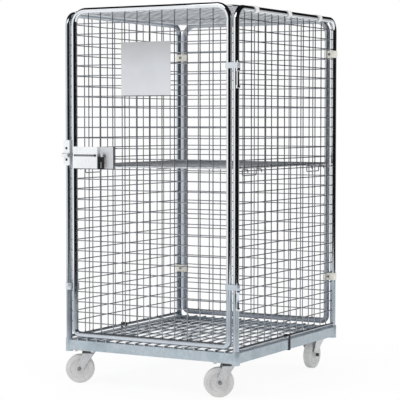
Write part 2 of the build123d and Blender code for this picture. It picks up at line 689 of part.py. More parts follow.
# Bolt keeper on the left wall's front leg: a folded plate with a staple for the bolt
with BuildPart() as bolt_keeper:
    keeper_front = FRONT_Y + STRAP_GAP + KEEPER_T
    with BuildSketch(Plane.XY.offset(KEEPER_Z0)):
        with Locations((-SIDE_X, -keeper_front + KEEPER_DEEP / 2)):
            Rectangle(2 * (TUBE_R + SEAT_GAP + KEEPER_T), KEEPER_DEEP)
        with Locations((-SIDE_X, -keeper_front + KEEPER_T + KEEPER_DEEP / 2)):
            Rectangle(2 * (TUBE_R + SEAT_GAP), KEEPER_DEEP, mode=Mode.SUBTRACT)
    extrude(amount=KEEPER_H)
    with BuildSketch(Plane.YZ.offset(STAPLE_X0)):
        with Locations((BOLT_Y, BOLT_Z)):
            Circle(STAPLE_R)
        with Locations(((BOLT_Y - FRONT_Y - STRAP_GAP) / 2, BOLT_Z)):
            Rectangle(abs(BOLT_Y + FRONT_Y + STRAP_GAP), 2 * STAPLE_R)
        with Locations((-FRONT_Y - STRAP_GAP + STAPLE_R, BOLT_Z)):
            Rectangle(2 * STAPLE_R, 4 * STAPLE_R, mode=Mode.SUBTRACT)
    extrude(amount=STAPLE_LONG)
    with BuildSketch(Plane.YZ.offset(STAPLE_X0)):
        with Locations((BOLT_Y, BOLT_Z)):
            Circle(KEEPER_BORE_R)
    extrude(amount=STAPLE_LONG + KEEPER_T, mode=Mode.SUBTRACT)
    with BuildSketch(Plane.XZ.offset(FRONT_Y)):
        with Locations(*[(-SIDE_X, KEEPER_Z0 + rise) for rise in PLUG_RISE]):
            Circle(PLUG_R)
    extrude(amount=STRAP_GAP + KEEPER_T, mode=Mode.SUBTRACT)

# Lower keeper: a clamp on the same leg with a tongue that stops the door
with BuildPart() as lower_keeper:
    with BuildSketch(Plane.XY.offset(row_z(STOP_ROW + 0.5) - STOP_H / 2)):
        with Locations((-SIDE_X, -LEG_Y)):
            Circle(SADDLE_R)
        with Locations((-SIDE_X + STOP_REACH / 2, -LEG_Y + TUBE_R + REST_GAP + STOP_T / 2)):
            Rectangle(STOP_REACH, STOP_T)
        with Locations((-SIDE_X, -LEG_Y)):
            Circle(TUBE_R + FIT, mode=Mode.SUBTRACT)
    extrude(amount=STOP_H)

# Sign plate in front of the door mesh, left blank
with BuildPart() as sign_plate:
    with BuildSketch(DOOR_FACE.offset(LAYER_SHIFT + WIRE_R + SEAT_GAP)):
        with Locations((SIGN_X0 + SIGN_W / 2, SIGN_Z0 + SIGN_H / 2)):
            RectangleRounded(SIGN_W, SIGN_H, SIGN_R)
    extrude(amount=SIGN_T)

# Lock plate: a flat sheet over the door tube with edges folded back to the mesh
with BuildPart() as lock_plate:
    with BuildSketch(Plane.XZ.offset(FRONT_Y + SEAT_GAP)):
        with Locations((LOCK_X0 + LOCK_PLATE_W / 2, LOCK_Z0 + LOCK_H / 2)):
            Rectangle(LOCK_PLATE_W, LOCK_H)
    extrude(amount=LOCK_SHEET)
    fold_x0 = -LOOP_X + TUBE_R + LOCK_SHEET
    fold_w = LOCK_X0 + LOCK_PLATE_W - fold_x0
    fold_back = LEG_Y + LAYER_SHIFT + WIRE_R + SEAT_GAP
    with BuildSketch(Plane.XZ.offset(fold_back)):
        with Locations((fold_x0 + fold_w / 2, LOCK_Z0 + LOCK_H / 2)):
            Rectangle(fold_w, LOCK_H)
        with Locations((fold_x0 + fold_w / 2 - LOCK_SHEET, LOCK_Z0 + LOCK_H / 2)):
            Rectangle(fold_w, LOCK_H - 2 * LOCK_SHEET, mode=Mode.SUBTRACT)
    extrude(amount=LOCK_FRONT - fold_back)

# Lock cover: an open-backed box that guides the bolt, with a slot along its front
with BuildPart() as lock_cover:
    cover_mid_x = COVER_X0 + LOCK_COVER_W / 2
    cover_deep = COVER_FRONT - LOCK_FRONT - SEAT_GAP
    with BuildSketch(Plane.XZ.offset(LOCK_FRONT + SEAT_GAP)):
        with Locations((cover_mid_x, LOCK_Z0 + LOCK_H / 2)):
            Rectangle(LOCK_COVER_W, LOCK_H)
    extrude(amount=cover_deep)
    with BuildSketch(Plane.XZ.offset(LOCK_FRONT + SEAT_GAP)):
        with Locations((cover_mid_x, LOCK_Z0 + LOCK_H / 2)):
            Rectangle(LOCK_COVER_W - 2 * COVER_SHEET, LOCK_H - 2 * COVER_SHEET)
    extrude(amount=cover_deep - COVER_SHEET, mode=Mode.SUBTRACT)
    with BuildSketch(Plane.XZ.offset(COVER_FRONT)):
        with Locations((COVER_X0 + SLOT_IN + SLOT_W / 2, BOLT_Z)):
            Rectangle(SLOT_W, SLOT_H)
    extrude(amount=-2 * COVER_SHEET, mode=Mode.SUBTRACT)
    with BuildSketch(Plane.YZ.offset(COVER_X0)):
        with Locations((BOLT_Y, BOLT_Z)):
            Circle(BOLT_R + FIT)
    extrude(amount=LOCK_COVER_W, mode=Mode.SUBTRACT)

# Lock bolt, drawn back
with BuildPart() as lock_bolt:
    with BuildSketch(Plane.YZ.offset(LOCK_X0 - BOLT_OUT)):
        with Locations((BOLT_Y, BOLT_Z)):
            Circle(BOLT_R)
    extrude(amount=BOLT_LONG)

# Lock handle: a stem on the end of the bolt and a grip with a window, in front of the cover
with BuildPart() as lock_handle:
    grip_back = COVER_FRONT + GRIP_GAP
    grip_mid_x = COVER_X0 + LOCK_COVER_W + GRIP_PAST + GRIP_W / 2
    with BuildSketch(Plane.XZ.offset(grip_back)):
        with Locations((grip_mid_x, GRIP_Z0 + GRIP_H / 2)):
            Rectangle(GRIP_W, GRIP_H)
        with Locations((grip_mid_x, GRIP_Z0 + (GRIP_RIB + GRIP_WINDOW_H) / 2)):
            Rectangle(GRIP_W - 2 * GRIP_RIB, GRIP_WINDOW_H, mode=Mode.SUBTRACT)
    extrude(amount=GRIP_T)
    stem_mid_x = LOCK_X0 - BOLT_OUT + BOLT_LONG - STEM_W / 2 - BOLT_R
    with BuildSketch(Plane.XZ.offset(-BOLT_Y)):
        with Locations((stem_mid_x, BOLT_Z + (STEM_RISE - STEM_DROP) / 2)):
            Rectangle(STEM_W, STEM_RISE + STEM_DROP)
    extrude(amount=grip_back + GRIP_T + BOLT_Y)
    with BuildSketch(Plane.YZ.offset(stem_mid_x)):
        with Locations((BOLT_Y, BOLT_Z)):
            Circle(BOLT_R + FIT)
    extrude(amount=STEM_W, both=True, mode=Mode.SUBTRACT)

# Roof lid: a rod border with two tabs that rest on the left wall, and its mesh
with BuildPart() as roof_frame:
    with BuildLine(Plane.XY.offset(ROOF_Z)) as roof_path:
        FilletPolyline(
            (-ROOF_X, -ROOF_Y),
            (ROOF_X, -ROOF_Y),
            (ROOF_X, ROOF_Y),
            (-ROOF_X, ROOF_Y),
            radius=ROOF_BEND_R,
            close=True,
        )
    with BuildSketch(Plane(roof_path.line @ 0, z_dir=roof_path.line % 0)):
        Circle(ROOF_ROD_R)
    sweep(path=roof_path.line)
    tab_x = -ROOF_X + ROOF_ROD_R - TAB_LONG / 2
    with BuildSketch(Plane.XY.offset(WALL_TOP + REST_GAP)):
        with Locations(*[(tab_x, clip_y) for clip_y in ROOF_CLIP_Y]):
            Rectangle(TAB_LONG, TAB_W)
    extrude(amount=TAB_T)
roof_mesh = flat_mesh(ROOF_Z, ROOF_X, ROOF_Y, ROOF_ROD_R, ROOF_EDGE_MIN)

# Shelf: a rod border on top of the hooks that hang it on the side walls, and its mesh
HOOK_Z = row_z(HOOK_ROW) + WIRE_TIP + HOOK_CLEAR + HOOK_R
SHELF_Z = HOOK_Z + HOOK_R + SEAT_GAP + SHELF_ROD_R
with BuildPart() as shelf_frame:
    with BuildLine(Plane.XY.offset(SHELF_Z)) as shelf_path:
        FilletPolyline(
            (-SHELF_X, -SHELF_Y),
            (SHELF_X, -SHELF_Y),
            (SHELF_X, SHELF_Y),
            (-SHELF_X, SHELF_Y),
            radius=SHELF_BEND_R,
            close=True,
        )
    with BuildSketch(Plane(shelf_path.line @ 0, z_dir=shelf_path.line % 0)):
        Circle(SHELF_ROD_R)
    sweep(path=shelf_path.line)
shelf_mesh = flat_mesh(SHELF_Z, SHELF_X, SHELF_Y, SHELF_ROD_R, ROOF_EDGE_MIN)

with BuildPart() as shelf_hooks:
    loop_z = SHELF_Z - HOOK_DROP
    prong_x = SIDE_X - LAYER_SHIFT + WIRE_R + HOOK_CLEAR + HOOK_R
    for side in (-1, 1):
        for end in (-1, 1):
            near_y = gap_y(HOOK_INDEXES[0], end)
            far_y = gap_y(HOOK_INDEXES[1], end)
            with BuildLine() as hook_path:
                FilletPolyline(
                    (side * prong_x, near_y, HOOK_Z - PRONG_DROP),
                    (side * prong_x, near_y, HOOK_Z),
                    (side * HOOK_X, near_y, HOOK_Z),
                    (side * HOOK_X, near_y, loop_z),
                    (side * HOOK_X, far_y, loop_z),
                    (side * HOOK_X, far_y, HOOK_Z),
                    (side * prong_x, far_y, HOOK_Z),
                    (side * prong_x, far_y, HOOK_Z - PRONG_DROP),
                    radius=HOOK_BEND_R,
                )
            with BuildSketch(Plane(hook_path.line @ 0, z_dir=hook_path.line % 0)):
                RegularPolygon(HOOK_R, WIRE_SIDES, major_radius=False)
            sweep(path=hook_path.line)

pieces = {
    "base_frame": base_frame,
    "deck_grid": deck_grid,
    "left_wall_frame": left_wall_frame,
    "left_wall_mesh": left_wall_mesh,
    "right_wall_frame": right_wall_frame,
    "right_wall_mesh": right_wall_mesh,
    "back_wall_frame": back_wall_frame,
    "back_wall_mesh": back_wall_mesh,
    "corner_clips": corner_clips,
    "clip_screws": clip_screws,
    "beam_clips": beam_clips,
    "roof_clips": roof_clips,
    "hinge_pintles": hinge_pintles,
    "bolt_keeper": bolt_keeper,
    "lower_keeper": lower_keeper,
    "door_frame": door_frame,
    "door_mesh": door_mesh,
    "hinge_straps": hinge_straps,
    "sign_plate": sign_plate,
    "lock_plate": lock_plate,
    "lock_cover": lock_cover,
    "lock_bolt": lock_bolt,
    "lock_handle": lock_handle,
    "roof_frame": roof_frame,
    "roof_mesh": roof_mesh,
    "shelf_frame": shelf_frame,
    "shelf_mesh": shelf_mesh,
    "shelf_hooks": shelf_hooks,
}

# Castors: the front pair swivels and trails to the left, the rear pair is fixed
for side_name, side, turn in (("left", -1, SWIVEL[0]), ("right", 1, SWIVEL[1])):
    front = (side * FRONT_X, -FRONT_CASTOR_Y, (-1, 0, 0))
    turned = (side * FRONT_X, -FRONT_CASTOR_Y, (-cos(radians(turn)), -sin(radians(turn)), 0))
    pieces[f"front_{side_name}_plate"] = castor_plate(*front)
    pieces[f"front_{side_name}_race"] = castor_race(*front)
    pieces[f"front_{side_name}_kingpin"] = castor_kingpin(*front)
    pieces[f"front_{side_name}_fork"] = castor_fork(*turned)
    pieces[f"front_{side_name}_axle"] = castor_axle(*turned, TRAIL)
    pieces[f"front_{side_name}_wheel"] = castor_wheel(*turned, TRAIL)
    rear = (side * REAR_X, REAR_CASTOR_Y, (0, 1, 0))
    pieces[f"rear_{side_name}_bracket"] = castor_bracket(*rear)
    pieces[f"rear_{side_name}_axle"] = castor_axle(*rear, 0.0)
    pieces[f"rear_{side_name}_wheel"] = castor_wheel(*rear, 0.0)

for name, piece in pieces.items():
    piece.part.label = name
    export_step(piece.part, f"parts/{name}.step")
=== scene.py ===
import json
import math
import random
from collections import namedtuple

import bpy
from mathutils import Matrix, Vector

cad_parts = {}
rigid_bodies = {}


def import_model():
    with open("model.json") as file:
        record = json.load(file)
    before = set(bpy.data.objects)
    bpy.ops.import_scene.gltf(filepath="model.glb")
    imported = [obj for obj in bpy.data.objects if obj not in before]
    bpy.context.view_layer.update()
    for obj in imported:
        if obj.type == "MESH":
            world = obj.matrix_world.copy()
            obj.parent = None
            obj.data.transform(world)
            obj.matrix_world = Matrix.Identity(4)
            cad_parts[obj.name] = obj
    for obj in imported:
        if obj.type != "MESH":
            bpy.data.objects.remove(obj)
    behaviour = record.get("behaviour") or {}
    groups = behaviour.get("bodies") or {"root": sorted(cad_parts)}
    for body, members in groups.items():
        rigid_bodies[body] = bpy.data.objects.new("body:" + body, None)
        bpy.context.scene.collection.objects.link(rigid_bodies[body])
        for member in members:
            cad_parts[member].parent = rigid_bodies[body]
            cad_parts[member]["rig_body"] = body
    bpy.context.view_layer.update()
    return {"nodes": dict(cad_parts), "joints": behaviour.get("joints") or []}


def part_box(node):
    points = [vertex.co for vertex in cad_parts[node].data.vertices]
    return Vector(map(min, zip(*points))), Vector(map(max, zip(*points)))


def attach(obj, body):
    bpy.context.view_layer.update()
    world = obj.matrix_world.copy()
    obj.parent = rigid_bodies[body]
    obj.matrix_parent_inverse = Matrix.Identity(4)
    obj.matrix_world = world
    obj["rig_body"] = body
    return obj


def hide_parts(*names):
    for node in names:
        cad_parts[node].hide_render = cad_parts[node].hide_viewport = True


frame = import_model()

MM = 0.001
SEED = 7
CASTORS = ("front_left", "front_right", "rear_left", "rear_right")
JOINTS = {joint["name"]: joint for joint in frame["joints"]}

# Bends of the tube and rod frames, at the centre line
SIDE_BEND = 45 * MM
LOOP_BEND = 50 * MM
LOOP_FOOT_BEND = 20 * MM
ROD_BEND = 12 * MM

# Shelf hooks
HOOK_RADIUS = 2 * MM
HOOK_BEND = 4.5 * MM
PRONG_DROP = 12 * MM  # free ends below the wire that carries them

# Resolution of round pieces
TUBE_SIDES = 32
ROD_SIDES = 16
WIRE_SIDES = 10
WHEEL_SIDES = 72
HEX_SIDES = 6
NUGGET_SIDES = 6
NUGGET_LAYERS = 4
PLUG_LAYERS = 6
BEND_STEPS = 10
SMALL_BEND_STEPS = 6

# Angle between faces, in degrees, from which an edge is shaded sharp
SHARP = 40
WHEEL_SHARP = 50

# Wires and their welds, in radii of the wire unless a unit is given
ROD_SOFT = 0.25  # softening of a rod's ends
PRESS = 0.35 * MM  # how far two crossing wires sink into each other
NUGGET_RADIUS = 1.25
NUGGET_FLAT = 0.8  # thickness over width
NUGGET_SPREAD = (0.9, 1.15)  # random share of the width
BEAD_RADIUS = 1.7
BEAD_SPREAD = (0.85, 1.1)  # random share of the radius
BEAD_LONG = 2.2
BEAD_WAIST = 1.3
BEAD_WAIST_AT = 0.4  # share of the length
BLOB_POLE = 0.08  # share of a half turn that is cut off flat at each pole

# Weld collar at the ends of a side wall's bottom rail
COLLAR = ((0.0, 1.5), (0.35, 1.25), (1.0, 1.0))  # distance and radius, both in radii of the rail
COLLAR_SEAT = 0.93  # from the middle of the leg, in radii of the leg

# Section of a wheel in millimetres, from the bore outwards: half width, radius and rounding of each corner
WHEEL_SECTION = (
    (17.0, 5.3, 0.0),  # bore
    (17.0, 15.5, 1.5),  # boss
    (11.0, 18.0, 2.0),  # web at the boss
    (11.0, 33.0, 2.5),  # web at the rim
    (14.0, 36.5, 1.5),  # rim
)
TREAD_HALF = 14.0
TREAD_EDGE = 4.0  # rounding of the tread's edges

# Bolts under the castor plates
PLATE_THICK = 4 * MM
BOLT_FAR = 37 * MM  # from the middle of the plate along its long side
BOLT_NEAR = 30 * MM
BOLT_FLATS = 10 * MM
BOLT_HEAD = 4.5 * MM
HEX_HEAD = ((0.0, 1.0), (0.8, 1.0), (1.0, 0.86))  # share of the height and of the radius
WASHER_RADIUS = 8 * MM
WASHER_THICK = 1.2 * MM
WASHER_SOFT = 0.2 * WASHER_THICK

# Plug welds of the bolt keeper
PLUG_RISE = (21 * MM, 64 * MM)  # above the bottom of the keeper
PLUG_RADIUS = 5.2 * MM
PLUG_PROUD = 1.2 * MM
KEEPER_TOP = 1 * MM  # height of the band at the top of the keeper that gives its front face

# Pin of the bolt in the slot of the lock cover
PIN_RADIUS = 3.1 * MM
PIN_IN = 13.6 * MM  # in from the right end of the cover
PIN_SUNK = 1 * MM  # into the bolt
PIN_CLEAR = 0.3 * MM  # head in front of the cover
PIN_HEAD_IN = 9 * MM  # in from the right end of the cover
PIN_HEAD_RADIUS = 5 * MM
PIN_HEAD_THICK = 2 * MM
PIN_HEAD = ((0.0, 0.92), (0.1, 1.0), (0.55, 1.0), (0.88, 0.8), (1.0, 0.45))  # share of thickness and radius

# Tolerances
SAME_PLACE = 6  # decimals to which the faces of one solid share their corners
UPRIGHT = 0.9  # rise of a unit vector that counts as upright

Wire = namedtuple("Wire", "start end radius axis")
chance = random.Random(SEED)


def add_object(name, data):
    """New object in the scene."""
    made = bpy.data.objects.new(name, data)
    bpy.context.scene.collection.objects.link(made)
    return made


class Shape:
    """Vertices and faces of one piece while it is built."""

    def __init__(self):
        self.verts = []
        self.faces = []

    def skin(self, rings, closed=False):
        """Skin over rings of equal length, joined end to end or capped."""
        start = len(self.verts)
        count = len(rings[0])
        for ring in rings:
            self.verts.extend(ring)
        spans = len(rings) if closed else len(rings) - 1
        for i in range(spans):
            low = start + i * count
            high = start + (i + 1) % len(rings) * count
            for k in range(count):
                after = (k + 1) % count
                self.faces.append((low + k, low + after, high + after, high + k))
        if not closed:
            last = start + (len(rings) - 1) * count
            self.faces.append(tuple(reversed(range(start, start + count))))
            self.faces.append(tuple(range(last, last + count)))

    def piece(self, name, material, body, sharp=SHARP):
        """Object of this shape, riding on a body."""
        mesh = bpy.data.meshes.new(name)
        mesh.from_pydata(self.verts, [], self.faces)
        mesh.update()
        mesh.shade_smooth()
        mesh.set_sharp_from_angle(angle=math.radians(sharp))
        mesh.materials.append(material)
        made = add_object(name, mesh)
        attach(made, body)
        return made

    def stand_in(self, node, ending, material, sharp=SHARP):
        """Object of this shape in the place of a node, riding on the node's body."""
        body = frame["nodes"][node]["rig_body"]
        made = self.piece(f"{node}_{ending}", material, body, sharp)
        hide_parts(node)


def on_axis(axis, length):
    """Vector of a length along the axis with an index."""
    vector = Vector((0, 0, 0))
    vector[axis] = length
    return vector


def circle(centre, side, up, radius, count):
    """Ring of points about a centre, in the plane of two vectors."""
    ring = []
    for k in range(count):
        turn = 2 * math.pi * k / count
        ring.append(centre + radius * (math.cos(turn) * side + math.sin(turn) * up))
    return ring


def square_to(direction):
    """Two unit vectors square to a direction, in the order that faces rings along it outwards."""
    helper = Vector((0, 0, 1)) if abs(direction.z) < UPRIGHT else Vector((1, 0, 0))
    side = direction.cross(helper).normalized()
    return side, direction.cross(side).normalized()


def lathe(shape, profile, centre, axis, sides, long=1.0, wide=1.0):
    """Solid turned about an axis from points of (distance along it, radius), scaled by long and wide."""
    side, up = square_to(axis)
    rings = []
    for distance, radius in profile:
        rings.append(circle(centre + axis * (long * distance), side, up, wide * radius, sides))
    shape.skin(rings)


def rod(shape, start, end, radius, sides):
    """Straight round rod with softened ends."""
    length = (end - start).length
    soft = ROD_SOFT * radius
    profile = ((0.0, radius - soft), (soft, radius), (length - soft, radius), (length, radius - soft))
    lathe(shape, profile, start, (end - start).normalized(), sides)


def rounded(corners, bends, closed, steps=BEND_STEPS):
    """Points of a path with each corner turned into an arc of its own radius."""
    count = len(corners)
    points = []
    for i, (corner, bend) in enumerate(zip(corners, bends)):
        if not closed and i in (0, count - 1):
            points.append(corner)
            continue
        back = (corners[i - 1] - corner).normalized()
        ahead = (corners[(i + 1) % count] - corner).normalized()
        half = back.angle(ahead) / 2
        middle = corner + (back + ahead).normalized() * bend / math.sin(half)
        first = corner + back * bend / math.tan(half) - middle
        last = corner + ahead * bend / math.tan(half) - middle
        for k in range(steps + 1):
            points.append(middle + bend * first.slerp(last, k / steps))
    return points


def sweep(shape, points, radius, sides, closed=False):
    """Round bar along a path, with its rings carried round without twist."""
    count = len(points)
    rings = []
    side = None
    for i, point in enumerate(points):
        before = points[i - 1] if closed or i else point
        after = points[(i + 1) % count] if closed or i < count - 1 else point
        along = (after - before).normalized()
        if side is None:
            side = square_to(along)[0]
        side = (side - along * side.dot(along)).normalized()
        rings.append(circle(point, side, along.cross(side), radius, sides))
    shape.skin(rings, closed)


def blob(shape, centre, half_axes, sides, layers):
    """Small ellipsoid for a weld, cut off flat at its poles."""
    one, other, pole = half_axes
    if one.cross(other).dot(pole) < 0:
        pole = -pole
    rings = []
    for layer in range(layers + 1):
        share = BLOB_POLE + (1 - 2 * BLOB_POLE) * layer / layers
        tilt = math.pi * share - math.pi / 2
        rings.append(circle(centre + math.sin(tilt) * pole, one, other, math.cos(tilt), sides))
    shape.skin(rings)


def solids_of(node):
    """Lowest and highest corner of each separate solid in a node, in order of place."""
    mesh = frame["nodes"][node].data
    owner = {}
    parent = []

    def root(i):
        while parent[i] != i:
            i = parent[i]
        return i

    places = []
    for vertex in mesh.vertices:
        key = tuple(round(value, SAME_PLACE) for value in vertex.co)
        if key not in owner:
            owner[key] = len(parent)
            parent.append(len(parent))
        places.append(owner[key])
    for polygon in mesh.polygons:
        first = root(places[polygon.vertices[0]])
        for index in polygon.vertices[1:]:
            parent[root(places[index])] = first
    groups = {}
    for key, index in owner.items():
        groups.setdefault(root(index), []).append(key)
    boxes = []
    for group in groups.values():
        low = Vector([min(values) for values in zip(*group)])
        high = Vector([max(values) for values in zip(*group)])
        boxes.append((low, high))
    return sorted(boxes, key=lambda box: tuple(box[0]))


def wires_of(node):
    """Centre line, radius and axis of each straight rod in a node."""
    wires = []
    for low, high in solids_of(node):
        size = list(high - low)
        axis = size.index(max(size))
        start = (low + high) / 2
        end = start.copy()
        start[axis] = low[axis]
        end[axis] = high[axis]
        wires.append(Wire(start, end, min(size) / 2, axis))
    return wires


def weld_bead(shape, tip, inward, radius):
    """Bead that joins the end of a wire to what it meets."""
    foot = BEAD_RADIUS * chance.uniform(*BEAD_SPREAD)
    profile = ((0.0, foot), (BEAD_WAIST_AT * BEAD_LONG, BEAD_WAIST), (BEAD_LONG, 1.0))
    lathe(shape, profile, tip, inward, WIRE_SIDES, radius, radius)


def weld_nugget(shape, place, radius, first, second, depth):
    """Nugget between two crossing wires, wide along both and flat across them."""
    size = NUGGET_RADIUS * radius
    half_axes = (
        on_axis(first, size * chance.uniform(*NUGGET_SPREAD)),
        on_axis(second, size * chance.uniform(*NUGGET_SPREAD)),
        on_axis(depth, size * NUGGET_FLAT),
    )
    blob(shape, place, half_axes, NUGGET_SIDES, NUGGET_LAYERS)


def wire_panel(node, material, end_beads=True):
    """Round welded wires in the place of a node's straight ones."""
    layers = {}
    for wire in wires_of(node):
        layers.setdefault(wire.axis, []).append(wire)
    first, second = sorted(layers)
    depth = ({0, 1, 2} - {first, second}).pop()
    levels = {axis: layers[axis][0].start[depth] for axis in (first, second)}
    middle = (levels[first] + levels[second]) / 2
    shape = Shape()
    for axis, level in levels.items():
        sink = on_axis(depth, math.copysign(PRESS / 2, middle - level))
        for wire in layers[axis]:
            start = wire.start + sink
            end = wire.end + sink
            along = (end - start).normalized()
            rod(shape, start, end, wire.radius, WIRE_SIDES)
            if end_beads:
                weld_bead(shape, start, along, wire.radius)
                weld_bead(shape, end, -along, wire.radius)
    for one in layers[first]:
        for other in layers[second]:
            at_first = other.start[first]
            at_second = one.start[second]
            on_one = one.start[first] < at_first < one.end[first]
            on_other = other.start[second] < at_second < other.end[second]
            if on_one and on_other:
                place = on_axis(first, at_first) + on_axis(second, at_second) + on_axis(depth, middle)
                weld_nugget(shape, place, min(one.radius, other.radius), first, second, depth)
    shape.stand_in(node, "welded", material)


def loop_tube(node, bends, sides, material):
    """Closed loop of tube or rod in the place of a node, from its box, low corners first."""
    low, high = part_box(node)
    size = list(high - low)
    thin = size.index(min(size))
    wide, tall = sorted({0, 1, 2} - {thin})
    radius = size[thin] / 2
    inset = Vector((radius, radius, radius))
    near = low + inset
    far = high - inset
    corners = []
    for across, up in ((near, near), (far, near), (far, far), (near, far)):
        corner = (low + high) / 2
        corner[wide] = across[wide]
        corner[tall] = up[tall]
        corners.append(corner)
    shape = Shape()
    sweep(shape, rounded(corners, bends, True), radius, sides, True)
    shape.stand_in(node, "tube", material)


def side_tube(node, material):
    """Side wall: a tube bent over the top, with its bottom rail welded between the legs."""
    tallest_first = sorted(solids_of(node), key=lambda box: box[0].z - box[1].z)
    (low, high), (rail_low, rail_high) = tallest_first
    radius = (high.x - low.x) / 2
    x = (low.x + high.x) / 2
    front = low.y + radius
    rear = high.y - radius
    top = high.z - radius
    path = ((front, low.z), (front, top), (rear, top), (rear, low.z))
    corners = [Vector((x, y, z)) for y, z in path]
    shape = Shape()
    sweep(shape, rounded(corners, [SIDE_BEND] * len(corners), False), radius, TUBE_SIDES)
    rail_radius = (rail_high.z - rail_low.z) / 2
    rail_z = (rail_low.z + rail_high.z) / 2
    for leg, inward in ((front, 1), (rear, -1)):
        seat = Vector((x, leg + inward * COLLAR_SEAT * radius, rail_z))
        lathe(shape, COLLAR, seat, Vector((0, inward, 0)), ROD_SIDES, rail_radius, rail_radius)
    rail_start = Vector((x, rail_low.y, rail_z))
    rail_end = Vector((x, rail_high.y, rail_z))
    rod(shape, rail_start, rail_end, rail_radius, ROD_SIDES)
    shape.stand_in(node, "tube", material)


def hook_wires(node, material):
    """Round wire hooks in the place of a node: two prongs over a wall wire and a hanging loop."""
    shape = Shape()
    for low, high in solids_of(node):
        prong, inner = (low.x, high.x) if low.x < -abs(high.x) else (high.x, low.x)
        out = math.copysign(HOOK_RADIUS, prong)
        prong -= out
        inner += out
        top = high.z - HOOK_RADIUS
        foot = low.z + HOOK_RADIUS
        half = ((prong, top - PRONG_DROP), (prong, top), (inner, top), (inner, foot))
        corners = [Vector((x, low.y + HOOK_RADIUS, z)) for x, z in half]
        corners += [Vector((x, high.y - HOOK_RADIUS, z)) for x, z in reversed(half)]
        bends = [HOOK_BEND] * len(corners)
        sweep(shape, rounded(corners, bends, False, SMALL_BEND_STEPS), HOOK_RADIUS, WIRE_SIDES)
    shape.stand_in(node, "bent", material)


def wheel_piece(castor, material):
    """Moulded wheel: hub boss, dished web, raised rim and a tread with rounded edges."""
    node = f"{castor}_wheel"
    spin = JOINTS[f"{castor}_wheel_spin"]
    low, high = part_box(node)
    corners = [*WHEEL_SECTION, (TREAD_HALF, (high.z - low.z) / 2 / MM, TREAD_EDGE)]
    outline = [Vector((-half, radius, 0)) * MM for half, radius, bend in corners]
    outline += [Vector((half, radius, 0)) * MM for half, radius, bend in reversed(corners)]
    bends = [bend * MM for half, radius, bend in corners]
    points = rounded(outline, bends + bends[::-1], False, SMALL_BEND_STEPS)
    profile = [(point.x, point.y) for point in points]
    shape = Shape()
    lathe(shape, profile, Vector(spin["pos_m"]), Vector(spin["axis"]), WHEEL_SIDES)
    shape.stand_in(node, "moulded", material, WHEEL_SHARP)


def plate_bolts(castor, material):
    """Four bolt heads with washers under the top plate of a castor."""
    swivels = castor.startswith("front")
    low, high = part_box(f"{castor}_plate" if swivels else f"{castor}_bracket")
    middle = (low + high) / 2
    across, along = (BOLT_FAR, BOLT_NEAR) if swivels else (BOLT_NEAR, BOLT_FAR)
    washer = (
        (0.0, WASHER_RADIUS),
        (WASHER_THICK - WASHER_SOFT, WASHER_RADIUS),
        (WASHER_THICK, WASHER_RADIUS - WASHER_SOFT),
    )
    hex_radius = BOLT_FLATS / math.sqrt(3)
    down = Vector((0, 0, -1))
    shape = Shape()
    for x in (-across, across):
        for y in (-along, along):
            seat = Vector((middle.x + x, middle.y + y, high.z - PLATE_THICK))
            lathe(shape, washer, seat, down, ROD_SIDES)
            lathe(shape, HEX_HEAD, seat + down * WASHER_THICK, down, HEX_SIDES, BOLT_HEAD, hex_radius)
    shape.piece(f"{castor}_plate_bolts", material, "cage")


def keeper_plugs(material):
    """Low domes of the plug welds in the two holes of the bolt keeper."""
    low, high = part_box("bolt_keeper")
    tube_low, tube_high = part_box("left_wall_frame")
    corners = [vertex.co for vertex in frame["nodes"]["bolt_keeper"].data.vertices]
    front = min(corner.y for corner in corners if corner.z > high.z - KEEPER_TOP)
    half_axes = (Vector((PLUG_RADIUS, 0, 0)), Vector((0, 0, PLUG_RADIUS)), Vector((0, -PLUG_PROUD, 0)))
    shape = Shape()
    for rise in PLUG_RISE:
        seat = Vector(((tube_low.x + tube_high.x) / 2, front, low.z + rise))
        blob(shape, seat, half_axes, ROD_SIDES, PLUG_LAYERS)
    shape.piece("bolt_keeper_plugs", material, "cage")


def slot_pin(material):
    """Pin of the bolt in the slot of the lock cover, with a button head that laps over the slot's end."""
    bolt_low, bolt_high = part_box("lock_bolt")
    cover_low, cover_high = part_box("lock_cover")
    z = (bolt_low.z + bolt_high.z) / 2
    foot = Vector((cover_high.x - PIN_IN, bolt_low.y + PIN_SUNK, z))
    head = Vector((cover_high.x - PIN_HEAD_IN, cover_low.y - PIN_CLEAR, z))
    shape = Shape()
    rod(shape, foot, Vector((foot.x, head.y - PIN_HEAD_THICK / 2, z)), PIN_RADIUS, ROD_SIDES)
    lathe(shape, PIN_HEAD, head, Vector((0, -1, 0)), ROD_SIDES, PIN_HEAD_THICK, PIN_HEAD_RADIUS)
    shape.piece("lock_bolt_pin", material, "bolt")


# Values of the materials: scales are per metre, depths of relief are in metres
PLAIN = (1.0, 1.0, 1.0)
NOISE_SPAN = (0.3, 0.7)  # most values of a noise lie between these
COARSE_DETAIL = 4.0
CLOUD_SCALE = 9.0
CLOUD_STOPS = (0.32, 0.5, 0.68)
CLOUD_FADE = 0.94  # of the light shade, beyond the lightest clouds
PATCH_SCALE = 3.0
PATCH_SHARE = (0.6, 1.0)  # strength of a tint from patch to patch
FLAKE = (0.81, 0.83, 0.85)  # darkest flakes of the spangle
ZINC_DETAIL = 6.0
ZINC_RELIEF = 0.0004
MOTTLE_SCALE = 28.0
MOTTLE_STOPS = (0.3, 0.62)
WEAR_SCALE = 60.0
WEAR_STOPS = (0.35, 0.6)
WEAR_FADE = 0.9
EDGE_SPAN = (0.505, 0.56)  # pointiness over which an edge starts to show wear
PLASTIC_DETAIL = 5.0
PLASTIC_RELIEF = 0.0003
SPOT_SCALE = 40.0  # of the painted shade and of bare steel
SHADE_TONE = (0.06, 0.066, 0.075)
SHADE_TONE_SPREAD = 1.6
FOLD_IN = (0.8 * MM, 0.4 * MM)  # in from the fold, where the painted shade starts and where it is full
